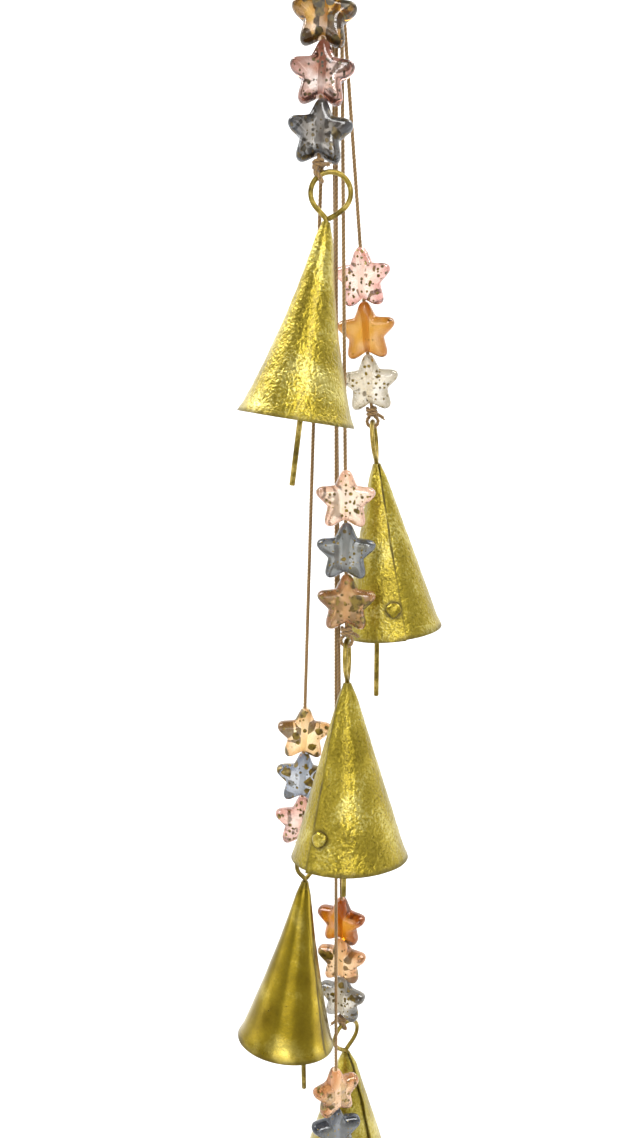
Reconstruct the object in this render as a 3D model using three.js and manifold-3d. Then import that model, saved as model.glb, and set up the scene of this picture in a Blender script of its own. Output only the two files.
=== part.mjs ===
// Bell wind chime: six cords on one ring, three star beads and one rolled cone bell on each cord.
// Millimetres, +Z up, +X to the viewer's right, the viewer stands on the -Y side.
// The origin is the point inside the top of the hanging ring where a hook carries the chime.
import * as THREE from 'three';
import Module from 'manifold-3d';

const wasm = await Module();
wasm.setup();

// Clearances between pieces that touch on the real chime
const SEAT = 0.35;
const NEST = 0.5;
const NECK_FIT = 0.35;
const BORE_FIT = 0.55;
const LAP_FIT = 0.35;
const WELD = 1e-4;

// Cord, knots and the hanging ring
const CORD_R = 0.65;
const CORD_SIDES = 8;
const CORD_STEPS = 6;
const RING_R = 7.6;
const RING_WIRE_R = 1.1;
const GATHER_R = 4.3;
const GATHER_H = 8.4;
const KNOT_R = 2.1;
const KNOT_H = 3.6;
const TAIL_LENGTH = 4.0;

// Star beads
const STAR_TIP_R = 10.2;
const STAR_VALLEY_R = 6.5;
const STAR_ROUND_R = 1.9;
const STAR_THICK = 6.6;
const STAR_EDGE = 3.2;
const STAR_BEVEL = 2.0;

// Bell sheet, its seam and rivet
const WALL = 0.7;
const SEAM_SLIT = 1.0;
const SEAM_LAP = 6.0;
const FLARE = 0.5;
const FLARE_LENGTH = 4.0;
const SLIT_SHARE = 0.1;
const CONE_SIDES = 24;
const LAP_RISE_START = 0.78;
const LAP_RISE_END = 0.91;
const RIVET_DOWN = 0.83;
const RIVET_HEAD_R = 2.5;
const RIVET_HEAD_H = 1.1;
const RIVET_SHANK_R = 1.0;
const RIVET_TAIL_R = 1.7;
const RIVET_TAIL_H = 0.6;

// Bent wire eye above the apex, its small eyelet below, and the clapper rod
const WIRE_R = 0.8;
const EYE_R = 6.0;
const EYE_RISE = 8.5;
const EYELET_R = 2.25;
const EYELET_STEP = 0.02;
const ROD_R = 0.9;
const WIRE_SIDES = 6;

const UP = new THREE.Vector3(0, 0, 1);
const RAD = Math.PI / 180;

// One entry a cord, from the highest bell to the lowest.
// exit: where the cord leaves the gathering knot (x, y). hitch: where its loop holds the bell's eye (x, y, z).
// swing: the way the strand is free to move outward (x, y). turn: the eye's heading. hang: loop's place on the eye.
// held: share of the cord, from the top, that its neighbours hold still (one cord only).
// right, front: how far the bell leans. waist: how far its sides are drawn in half way down. seam: heading of the lapped edge, and way: which way it laps.
// reach: pivot to clapper end. sway: the rod's set to one side of the bell's axis.
const STRANDS = [
  {
    exit: [-2.6, -2.2], hitch: [-5.2, -16.8, -98.0], swing: [-0.2, -0.98], turn: 0, hang: -38,
    right: -9.1, front: 3.7, mouth: 36.8, height: 59.2, waist: 1.7, seam: 75, way: 1, reach: 67.2, sway: -1.7,
    stars: [0, 0, 0], rock: 2, colours: [0xe6d9a0, 0xd98f96, 0x9a9490],
  },
  {
    exit: [0.7, 2.0], hitch: [13.3, 13.0, -172.6], swing: [0.85, 0.52], turn: 82, hang: 0,
    right: 6, front: 1.5, mouth: 35.5, height: 59, waist: 0, seam: -79, way: 1, reach: 75, sway: 0,
    stars: [-26, -12, -12], rock: 0, colours: [0xe8b7b0, 0xe0913f, 0xd9d8d4],
  },
  {
    exit: [1.6, -0.9], hitch: [4.2, -10.8, -243.7], swing: [0.97, -0.25], turn: 82, hang: 0,
    right: 0.8, front: 8, mouth: 40, height: 59.5, waist: 0, seam: -133, way: -1, reach: 66, sway: 0,
    stars: [0, -4, 3], rock: 2, colours: [0xe9c3b4, 0x8d9bab, 0xe0aa95],
  },
  {
    exit: [-2.2, 0.4], hitch: [-11.9, 8.0, -330.9], swing: [-0.98, 0.2], turn: 48, hang: -40,
    right: -7, front: 8.5, mouth: 36.8, height: 61.5, waist: 1.0, seam: 110, way: 1, reach: 78, sway: -12,
    stars: [4, -3, 4], rock: 2, colours: [0xe3b48c, 0xa9b4cc, 0xdfa3a0],
  },
  {
    exit: [-1.0, 2.2], hitch: [4.2, 17.5, -411.2], swing: [-0.3, 0.95], turn: 220, hang: 22,
    right: 0, front: -5, mouth: 36.5, height: 58, waist: 0, seam: -35, way: -1, reach: 72, sway: 0,
    stars: [-27, -22, -30], rock: 0, colours: [0xd9772e, 0xe5b795, 0xb9b9b6],
  },
  {
    exit: [0.2, 0.5], hitch: [1.6, 2.5, -476.3], swing: [0.6, -0.8], turn: -15, hang: 0,
    right: 1.5, front: 0, mouth: 36, height: 58, waist: 0, seam: -110, way: 1, reach: 71, sway: 0,
    stars: [32, 16, 4], rock: 0, colours: [0xe2a98c, 0x8f979f, 0xdb9a9c], held: 0.865,
  },
];

const brass = new THREE.MeshStandardMaterial({ color: 0x9c8a4e, metalness: 0.6, roughness: 0.45 });
const wire = new THREE.MeshStandardMaterial({ color: 0x9a8f6a, metalness: 0.8, roughness: 0.4 });
const twine = new THREE.MeshStandardMaterial({ color: 0x8a6a45, metalness: 0, roughness: 0.9 });

const group = new THREE.Group();
const joints = [];
const sum = (a, b, k = 1) => a.clone().addScaledVector(b, k);

// Closed solid from a triangle geometry, and back again
function solidOf(geometry) {
  const flat = geometry.index ? geometry.toNonIndexed() : geometry;
  const position = flat.attributes.position;
  const known = new Map();
  const points = [];
  const faces = [];
  for (let i = 0; i < position.count; i += 3) {
    const face = [];
    for (let k = 0; k < 3; k += 1) {
      const p = [position.getX(i + k), position.getY(i + k), position.getZ(i + k)];
      const key = p.map((c) => Math.round(c / WELD)).join(' ');
      if (!known.has(key)) {
        known.set(key, known.size);
        points.push(...p);
      }
      face.push(known.get(key));
    }
    if (new Set(face).size === 3) {
      faces.push(...face);
    }
  }
  return new wasm.Manifold(new wasm.Mesh({
    numProp: 3,
    vertProperties: new Float32Array(points),
    triVerts: new Uint32Array(faces),
  }));
}

function geometryOf(solid) {
  const mesh = solid.getMesh();
  const geometry = new THREE.BufferGeometry();
  geometry.setAttribute('position', new THREE.BufferAttribute(Float32Array.from(mesh.vertProperties), 3));
  geometry.setIndex(Array.from(mesh.triVerts));
  return geometry;
}

function put(name, solid, frame, material) {
  const geometry = geometryOf(solid);
  geometry.applyMatrix4(frame);
  geometry.computeVertexNormals();
  const mesh = new THREE.Mesh(geometry, material);
  mesh.name = name;
  group.add(mesh);
}

function frameOf(x, y, z, origin) {
  return new THREE.Matrix4().makeBasis(x, y, z).setPosition(origin);
}

// Right-handed frame whose z is given and whose x heads as near as it can to a compass heading
function heading(z, degrees, origin) {
  const x = new THREE.Vector3(Math.cos(degrees * RAD), Math.sin(degrees * RAD), 0);
  x.addScaledVector(z, -x.dot(z)).normalize();
  const y = new THREE.Vector3().crossVectors(z, x);
  return { x, y, z, origin, matrix: frameOf(x, y, z, origin) };
}

// Wire bent through a list of points, one ring of the tube at each point
class Bend extends THREE.CatmullRomCurve3 {
  getUtoTmapping(u) {
    return u;
  }
}

function polygon(radius, sides) {
  const corners = [];
  for (let i = 0; i < sides; i += 1) {
    const a = (i / sides) * 2 * Math.PI;
    corners.push(new THREE.Vector2(radius * Math.cos(a), radius * Math.sin(a)));
  }
  return new THREE.Shape(corners);
}

function tube(points, radius, sides) {
  return solidOf(new THREE.ExtrudeGeometry(polygon(radius, sides), {
    steps: points.length - 1,
    bevelEnabled: false,
    extrudePath: new Bend(points),
  }));
}

function turned(profile, sides) {
  const points = profile.map(([r, z]) => new THREE.Vector2(r, z));
  const geometry = new THREE.LatheGeometry(points, sides);
  geometry.rotateX(Math.PI / 2);
  return solidOf(geometry);
}

function loopOfCord(radius, tubeRadius, frame) {
  const geometry = new THREE.TorusGeometry(radius, tubeRadius, 6, 10);
  geometry.applyMatrix4(frame);
  return solidOf(geometry);
}

// Star bead: rounded five-armed outline, chamfered all round, bored from the top tip to the lower valley
function starBead() {
  const outline = [];
  const share = Math.PI / 5;
  const core = STAR_TIP_R - STAR_ROUND_R;
  for (let arm = 0; arm < 5; arm += 1) {
    const a = Math.PI / 2 - arm * 2 * share;
    for (const k of [62, 0, -62]) {
      const b = a + k * RAD;
      outline.push(new THREE.Vector2(
        core * Math.cos(a) + STAR_ROUND_R * Math.cos(b),
        core * Math.sin(a) + STAR_ROUND_R * Math.sin(b),
      ));
    }
    for (const k of [-0.86, -1.14]) {
      const r = STAR_VALLEY_R * 1.012;
      outline.push(new THREE.Vector2(r * Math.cos(a + k * share), r * Math.sin(a + k * share)));
    }
  }
  const cap = (STAR_THICK - STAR_EDGE) / 2;
  const geometry = new THREE.ExtrudeGeometry(new THREE.Shape(outline), {
    depth: STAR_EDGE,
    bevelEnabled: true,
    bevelThickness: cap,
    bevelSize: STAR_BEVEL,
    bevelOffset: -STAR_BEVEL,
    bevelSegments: 1,
  });
  geometry.translate(0, 0, -STAR_EDGE / 2);
  geometry.rotateX(Math.PI / 2);
  const bore = turned([
    [0, -STAR_TIP_R],
    [CORD_R + BORE_FIT, -STAR_TIP_R],
    [CORD_R + BORE_FIT, STAR_TIP_R + 1],
    [0, STAR_TIP_R + 1],
  ], CORD_SIDES);
  return solidOf(geometry).subtract(bore);
}

// Bell sheet rolled into a cone: gaping slit at the apex, lapped edge lower down, slight flare at the mouth
function bellForm(strand) {
  const apex = WIRE_R + NECK_FIT;
  const straight = strand.mouth / 2 - WALL - FLARE;
  const slope = (straight - apex) / strand.height;
  const { waist, height, way } = strand;
  const inner = (t) => apex + slope * height * t - waist * 4 * t * (1 - t) + (t === 1 ? FLARE : 0);
  const lean = (t) => Math.atan(slope - (waist * 4 * (1 - 2 * t)) / height);
  const lap = (t) => SEAM_LAP * t - SEAM_SLIT * (1 - t);
  return { inner, lean, lap, way, height, waist };
}

function rolledCone(form) {
  const bends = form.waist > 0 ? [0.32, 0.54, 0.75] : [];
  const rows = [0, SLIT_SHARE, ...bends, 1 - FLARE_LENGTH / form.height, 1];
  const point = (side, row, column) => {
    const t = rows[row];
    const s = column / CONE_SIDES;
    const rise = Math.min(1, Math.max(0, (s - LAP_RISE_START) / (LAP_RISE_END - LAP_RISE_START)));
    const r = form.inner(t) + side * WALL + rise * (WALL + LAP_FIT) * (row === 0 ? 0.35 : 1);
    const span = 2 * Math.PI + form.lap(t) / (form.inner(t) + WALL);
    const a = form.way * (s - 1) * span;
    return [r * Math.cos(a), r * Math.sin(a), -form.height * t];
  };
  const corners = [];
  const quad = (a, b, c, d) => {
    const [p, q] = form.way > 0 ? [b, d] : [d, b];
    corners.push(...a, ...p, ...c, ...a, ...c, ...q);
  };
  const last = rows.length - 1;
  for (let i = 0; i < CONE_SIDES; i += 1) {
    for (let j = 0; j < last; j += 1) {
      quad(point(1, j, i), point(1, j + 1, i), point(1, j + 1, i + 1), point(1, j, i + 1));
      quad(point(0, j, i), point(0, j, i + 1), point(0, j + 1, i + 1), point(0, j + 1, i));
    }
    quad(point(1, 0, i), point(1, 0, i + 1), point(0, 0, i + 1), point(0, 0, i));
    quad(point(1, last, i), point(0, last, i), point(0, last, i + 1), point(1, last, i + 1));
  }
  for (let j = 0; j < last; j += 1) {
    quad(point(0, j, 0), point(0, j + 1, 0), point(1, j + 1, 0), point(1, j, 0));
    quad(point(1, j, CONE_SIDES), point(1, j + 1, CONE_SIDES), point(0, j + 1, CONE_SIDES), point(0, j, CONE_SIDES));
  }
  const geometry = new THREE.BufferGeometry();
  geometry.setAttribute('position', new THREE.BufferAttribute(new Float32Array(corners), 3));
  return solidOf(geometry);
}

// Rivet through both layers of the lap, its axis square to the sheet
function rivetFrame(form) {
  const r = form.inner(RIVET_DOWN);
  const a = (-form.way * form.lap(RIVET_DOWN)) / 2 / (r + WALL);
  const lean = form.lean(RIVET_DOWN);
  const out = new THREE.Vector3(Math.cos(a) * Math.cos(lean), Math.sin(a) * Math.cos(lean), Math.sin(lean));
  const base = new THREE.Vector3(r * Math.cos(a), r * Math.sin(a), -form.height * RIVET_DOWN);
  const side = new THREE.Vector3(-Math.sin(a), Math.cos(a), 0);
  return frameOf(side, new THREE.Vector3().crossVectors(out, side), out, base);
}

function rivetForm() {
  const skin = 2 * WALL + LAP_FIT + SEAT;
  return turned([
    [0, -SEAT - RIVET_TAIL_H],
    [RIVET_TAIL_R, -SEAT - RIVET_TAIL_H],
    [RIVET_TAIL_R, -SEAT],
    [RIVET_SHANK_R, -SEAT],
    [RIVET_SHANK_R, skin],
    [RIVET_HEAD_R, skin],
    [RIVET_HEAD_R * 0.72, skin + RIVET_HEAD_H * 0.75],
    [0, skin + RIVET_HEAD_H],
  ], 10);
}

function rivetHole(frame) {
  const r = RIVET_SHANK_R + SEAT;
  const through = 2 * (2 * WALL + LAP_FIT + SEAT);
  const geometry = geometryOf(turned([[0, -through], [r, -through], [r, through], [0, through]], 8));
  geometry.applyMatrix4(frame);
  return solidOf(geometry);
}

// Depth of the eyelet below the apex at which its shoulders carry the cone
function eyeletDepth(form) {
  const room = (depth) => {
    const t = depth / form.height;
    return form.inner(t) * Math.cos(form.lean(t));
  };
  let depth = 0;
  while (room(depth) < EYELET_R + WIRE_R + SEAT) {
    depth += EYELET_STEP;
  }
  return depth;
}

function eyeWire(form) {
  const points = [];
  const onEye = (degrees) => new THREE.Vector3(
    EYE_R * Math.cos(degrees * RAD),
    0,
    EYE_RISE + EYE_R * Math.sin(degrees * RAD),
  );
  for (let i = 0; i <= 15; i += 1) {
    points.push(onEye(-85 + i * 20.9));
  }
  const neck = EYE_RISE - EYE_R;
  points.push(new THREE.Vector3(-1.75, 0, neck * 0.9));
  points.push(new THREE.Vector3(-0.4, 0, neck * 0.42));
  points.push(new THREE.Vector3(0, 0, -neck * 0.1));
  const depth = eyeletDepth(form);
  points.push(new THREE.Vector3(0, 0, -(depth - EYELET_R) * 0.5));
  points.push(new THREE.Vector3(0, -EYELET_R * 0.5, -(depth - EYELET_R) * 0.93));
  for (const b of [152, 190, 230, 270, 310, 350, 28, 62]) {
    points.push(new THREE.Vector3(0, EYELET_R * Math.cos(b * RAD), EYELET_R * Math.sin(b * RAD) - depth));
  }
  return tube(points, WIRE_R, WIRE_SIDES);
}

// Clapper rod with its own eyelet linked through the small eyelet, drawn about the swing axis
function clapperRod(reach, sway) {
  const bend = WIRE_R + ROD_R + SEAT;
  const middle = -EYELET_R;
  const points = [];
  for (const b of [-52, -15, 25, 65, 105, 145, 185, 218]) {
    points.push(new THREE.Vector3(bend * Math.cos(b * RAD), 0, middle + bend * Math.sin(b * RAD)));
  }
  points.push(new THREE.Vector3(-0.55, 0, middle - bend * 1.35));
  points.push(new THREE.Vector3(0, 0, middle - bend * 2.1));
  points.push(new THREE.Vector3(0, 0, -reach / 2));
  points.push(new THREE.Vector3(0, 0, -reach));
  const link = new THREE.Vector3(0, 0, middle);
  points.forEach((p) => p.sub(link).applyAxisAngle(yAxis, sway * RAD).add(link));
  return tube(points, ROD_R, WIRE_SIDES);
}

const star = starBead();
const rivet = rivetForm();
const xAxis = new THREE.Vector3(1, 0, 0);
const yAxis = new THREE.Vector3(0, 1, 0);

// Hanging ring, and the gathering knot looped under it
const ringCentre = new THREE.Vector3(0, 0, -(RING_R - RING_WIRE_R));
const upright = frameOf(xAxis, UP, yAxis.clone().negate(), ringCentre);
put('hanging_ring', solidOf(new THREE.TorusGeometry(RING_R, RING_WIRE_R, 6, 20)), upright, wire);
const saddle = ringCentre.clone().setZ(ringCentre.z - RING_R);
const gatherLoopR = RING_WIRE_R + SEAT + CORD_R + 0.15;
const gatherTop = -gatherLoopR;
const gatherFoot = gatherTop - GATHER_H;
const gatherBarrel = turned([
  [0, gatherFoot],
  [GATHER_R * 0.9, gatherFoot],
  [GATHER_R, gatherFoot + GATHER_H * 0.14],
  [GATHER_R * 0.9, gatherFoot + GATHER_H * 0.3],
  [GATHER_R, gatherFoot + GATHER_H * 0.46],
  [GATHER_R * 0.88, gatherFoot + GATHER_H * 0.62],
  [GATHER_R * 0.92, gatherFoot + GATHER_H * 0.76],
  [GATHER_R * 0.5, gatherTop],
  [0, gatherTop],
], 12);
const alongX = frameOf(yAxis, UP, xAxis, new THREE.Vector3());
const gather = gatherBarrel.add(loopOfCord(gatherLoopR, CORD_R + 0.1, alongX));
put('gathering_knot', gather, new THREE.Matrix4().setPosition(saddle), twine);
joints.push({ name: 'chime_swing', body: 'bundle', at: saddle, axis: xAxis });
const exitZ = saddle.z + gatherFoot - SEAT;

STRANDS.forEach((strand, index) => {
  const n = index + 1;
  const exit = new THREE.Vector3(strand.exit[0], strand.exit[1], exitZ);
  const hitch = new THREE.Vector3(...strand.hitch);
  const rise = exit.clone().sub(hitch).normalize();
  const outward = new THREE.Vector3(strand.swing[0], strand.swing[1], 0).normalize();
  const free = exit.clone().lerp(hitch, strand.held ?? 0);
  joints.push({ name: `strand_${n}_swing`, body: `strand_${n}`, at: free, axis: outward.cross(UP) });

  // Bell frame: z up its axis, y along the eye's own axis
  const down = new THREE.Vector3(Math.tan(strand.right * RAD), -Math.tan(strand.front * RAD), -1).normalize();
  const eye = heading(down.clone().negate(), strand.turn, new THREE.Vector3());
  const plumb = UP.clone().addScaledVector(eye.y, -UP.dot(eye.y)).normalize();
  const level = new THREE.Vector3().crossVectors(eye.y, plumb);
  const hang = strand.hang * RAD;
  const toLoop = plumb.clone().multiplyScalar(Math.cos(hang)).addScaledVector(level, Math.sin(hang));
  const along = new THREE.Vector3().crossVectors(eye.y, toLoop);
  const eyeCentre = sum(hitch, toLoop, -EYE_R);
  const apex = sum(eyeCentre, down, EYE_RISE);
  const bell = heading(eye.z, strand.turn, apex);
  const form = bellForm(strand);
  const seam = heading(eye.z, strand.seam, apex);
  const rivetAt = rivetFrame(form);
  put(`bell_cone_${n}`, rolledCone(form).subtract(rivetHole(rivetAt)), seam.matrix, brass);
  put(`seam_rivet_${n}`, rivet, seam.matrix.clone().multiply(rivetAt), brass);
  put(`bell_eye_${n}`, eyeWire(form), bell.matrix, wire);
  joints.push({ name: `bell_${n}_swing`, body: `bell_${n}`, at: eyeCentre, axis: bell.y });

  // Clapper hangs plumb in the plane it is free to swing in
  const pivot = sum(apex, down, eyeletDepth(form));
  const rod = UP.clone().addScaledVector(bell.x, -UP.dot(bell.x)).normalize();
  const rodFrame = frameOf(bell.x, new THREE.Vector3().crossVectors(rod, bell.x), rod, pivot);
  put(`clapper_${n}`, clapperRod(strand.reach, strand.sway), rodFrame, wire);
  const offset = new THREE.Vector3().crossVectors(rod, bell.z).dot(bell.x);
  joints.push({ name: `clapper_${n}_swing`, body: `clapper_${n}`, at: pivot, axis: bell.x, offset: Math.asin(offset) / RAD });

  // Knot under the lowest star, its loop round the eye's wire and its cut tail
  const loopR = WIRE_R + SEAT + CORD_R + 0.08;
  const knotTop = loopR + KNOT_H;
  const strandFrame = heading(rise, 0, hitch);
  const barrel = turned([
    [0, loopR - 0.3],
    [KNOT_R * 0.55, loopR - 0.3],
    [KNOT_R * 0.95, loopR + KNOT_H * 0.1],
    [KNOT_R, loopR + KNOT_H * 0.28],
    [KNOT_R * 0.85, loopR + KNOT_H * 0.42],
    [KNOT_R, loopR + KNOT_H * 0.58],
    [KNOT_R * 0.8, loopR + KNOT_H * 0.76],
    [CORD_R * 1.2, knotTop],
    [0, knotTop],
  ], 10);
  const barrelWorld = geometryOf(barrel);
  barrelWorld.applyMatrix4(strandFrame.matrix);
  const loop = loopOfCord(loopR, CORD_R, frameOf(toLoop, new THREE.Vector3().crossVectors(along, toLoop), along, hitch));
  const tailStart = sum(hitch, rise, loopR + KNOT_H * 0.3);
  const tailWay = along.clone().multiplyScalar(0.62).addScaledVector(eye.y, -0.7).addScaledVector(UP, -0.35).normalize();
  const tail = tube([
    sum(tailStart, tailWay, KNOT_R * 0.5),
    sum(tailStart, tailWay, KNOT_R * 0.5 + TAIL_LENGTH * 0.5),
    sum(sum(tailStart, tailWay, KNOT_R * 0.5 + TAIL_LENGTH), UP, -0.5),
  ], CORD_R, WIRE_SIDES);
  put(`knot_${n}`, solidOf(barrelWorld).add(loop).add(tail), new THREE.Matrix4(), twine);

  // Cord, straight from the gathering knot through the three stars to the knot
  const cordFoot = sum(hitch, rise, knotTop + SEAT);
  const length = (from, to) => {
    const stations = [];
    for (let i = 0; i <= CORD_STEPS; i += 1) {
      stations.push(from.clone().lerp(to, i / CORD_STEPS));
    }
    return tube(stations, CORD_R, CORD_SIDES);
  };
  if (strand.held) {
    put(`cord_${n}_held`, length(exit, sum(free, rise, SEAT)), new THREE.Matrix4(), twine);
  }
  put(`cord_${n}`, length(free, cordFoot), new THREE.Matrix4(), twine);

  // Stars threaded on the cord, each top tip nested in the valley above it
  const lowest = knotTop + SEAT * 2 + STAR_VALLEY_R;
  const pitch = STAR_TIP_R + STAR_VALLEY_R + NEST;
  ['top', 'middle', 'bottom'].forEach((place, k) => {
    const centre = sum(hitch, rise, lowest + pitch * (2 - k));
    const facing = heading(rise, strand.stars[k], centre);
    const rocked = facing.matrix.clone().multiply(new THREE.Matrix4().makeRotationY(strand.rock * RAD));
    const acrylic = new THREE.MeshStandardMaterial({ color: strand.colours[k], roughness: 0.15 });
    put(`star_${n}_${place}`, star, rocked, acrylic);
    joints.push({ name: `star_${n}_${place}_turn`, body: `star_${n}_${place}`, at: centre, axis: rise });
  });
});

group.userData.joints = joints;
export default group;
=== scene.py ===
"""Bell wind chime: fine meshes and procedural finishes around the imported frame."""

import logging
import random
from dataclasses import dataclass, field
from enum import Enum
from math import atan, cos, hypot, inf, pi, radians, sin, tan
from typing import Any, Mapping, Sequence, Union

import bpy
from mathutils import Matrix, Quaternion, Vector, noise


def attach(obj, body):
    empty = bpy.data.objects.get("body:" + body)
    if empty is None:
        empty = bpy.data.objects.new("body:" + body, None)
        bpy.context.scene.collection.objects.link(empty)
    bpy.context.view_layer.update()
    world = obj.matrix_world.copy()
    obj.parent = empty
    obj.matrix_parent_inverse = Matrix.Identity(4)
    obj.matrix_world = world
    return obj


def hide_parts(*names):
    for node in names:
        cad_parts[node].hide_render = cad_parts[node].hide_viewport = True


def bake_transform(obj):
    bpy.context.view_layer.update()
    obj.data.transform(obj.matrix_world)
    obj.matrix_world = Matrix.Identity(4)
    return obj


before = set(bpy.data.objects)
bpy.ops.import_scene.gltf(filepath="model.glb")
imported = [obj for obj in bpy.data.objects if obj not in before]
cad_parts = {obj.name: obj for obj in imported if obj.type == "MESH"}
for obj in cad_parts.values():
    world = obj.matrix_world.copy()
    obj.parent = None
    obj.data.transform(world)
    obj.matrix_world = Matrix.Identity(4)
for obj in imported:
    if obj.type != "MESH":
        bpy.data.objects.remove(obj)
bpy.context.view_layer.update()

MM = 0.001
TURN = 2 * pi
UP = Vector((0.0, 0.0, 1.0))
CREASE = 50.0
CORD_CREASE = 80.0
SHEET_CREASE = 60.0
STAR_CREASE = 40.0
COVE_CREASE = 90.0
LOG = logging.getLogger("bell_chime")

Colour = tuple[float, float, float, float]
Triple = tuple[float, float, float]
Pair = tuple[float, float]
Material = bpy.types.Material
Value = Union["Field", float]


class Place(Enum):
    """Where a star sits on its cord, counted from the top."""

    TOP = 0
    MIDDLE = 1
    BOTTOM = 2

    @property
    def word(self) -> str:
        """The place as it stands in the node names."""
        return self.name.lower()


class Lap(Enum):
    """Which way the sheet of a bell laps over itself."""

    LEFT = -1
    RIGHT = 1


class Surface(Enum):
    """How strongly the bell sheet is grained."""

    HAMMERED = 1.0
    SMOOTH = 0.15


def tint(code: str) -> Colour:
    """Turns a display colour code into the linear colour that shaders use.

    Args:
        code: six hexadecimal digits, red first.

    Returns:
        The linear colour with full alpha.
    """
    parts = [int(code[i : i + 2], 16) / 255 for i in (0, 2, 4)]
    line = [c / 12.92 if c <= 0.04045 else ((c + 0.055) / 1.055) ** 2.4 for c in parts]
    return (line[0], line[1], line[2], 1.0)


def smooth(low: float, high: float, value: float) -> float:
    """Eases from 0 where the value is low to 1 where it is high."""
    t = min(1.0, max(0.0, (value - low) / (high - low)))
    return t * t * (3 - 2 * t)


def shares(count: int) -> list[float]:
    """The shares of a way from 0 to 1 in even steps."""
    return [i / count for i in range(count + 1)]


def polar(radius: float, angle: float, z: float = 0.0) -> Vector:
    """The point at a radius and an angle about the z axis, and at a height."""
    return Vector((radius * cos(angle), radius * sin(angle), z))


def upright(radius: float, angle: float, z: float = 0.0) -> Vector:
    """The point at a radius and an angle in the plane of x and z, round a height."""
    return Vector((radius * cos(angle), 0.0, z + radius * sin(angle)))


class Field:
    """One output socket of a shader, with arithmetic on its values."""

    def __init__(self, graph: "Graph", socket: bpy.types.NodeSocket) -> None:
        """Keeps the graph and the socket."""
        self.graph = graph
        self.socket = socket

    def _math(self, operation: str, first: Value, second: Value) -> "Field":
        """One Math node on two values."""
        return self.graph.node("ShaderNodeMath", {"operation": operation}, {0: first, 1: second})

    def __add__(self, other: Value) -> "Field":
        """self + other."""
        return self._math("ADD", self, other)

    def __radd__(self, other: Value) -> "Field":
        """other + self."""
        return self._math("ADD", other, self)

    def __sub__(self, other: Value) -> "Field":
        """self - other."""
        return self._math("SUBTRACT", self, other)

    def __rsub__(self, other: Value) -> "Field":
        """other - self."""
        return self._math("SUBTRACT", other, self)

    def __mul__(self, other: Value) -> "Field":
        """self * other."""
        return self._math("MULTIPLY", self, other)

    def __lt__(self, other: Value) -> "Field":
        """1 where self is less than other."""
        return self._math("LESS_THAN", self, other)

    def __or__(self, other: Value) -> "Field":
        """The larger of the two."""
        return self._math("MAXIMUM", self, other)

    def ease(self, low: float, high: float) -> "Field":
        """A smooth step from 0 at low to 1 at high."""
        inputs = {"Value": self, "From Min": low, "From Max": high}
        return self.graph.node("ShaderNodeMapRange", {"interpolation_type": "SMOOTHSTEP"}, inputs)

    def chance(self) -> "Field":
        """A number by chance, the same all over one of the cells that this field measures."""
        cell = Field(self.graph, self.socket.node.outputs["Color"])
        return self.graph.node("ShaderNodeSeparateColor", {}, {"Color": cell})


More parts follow.
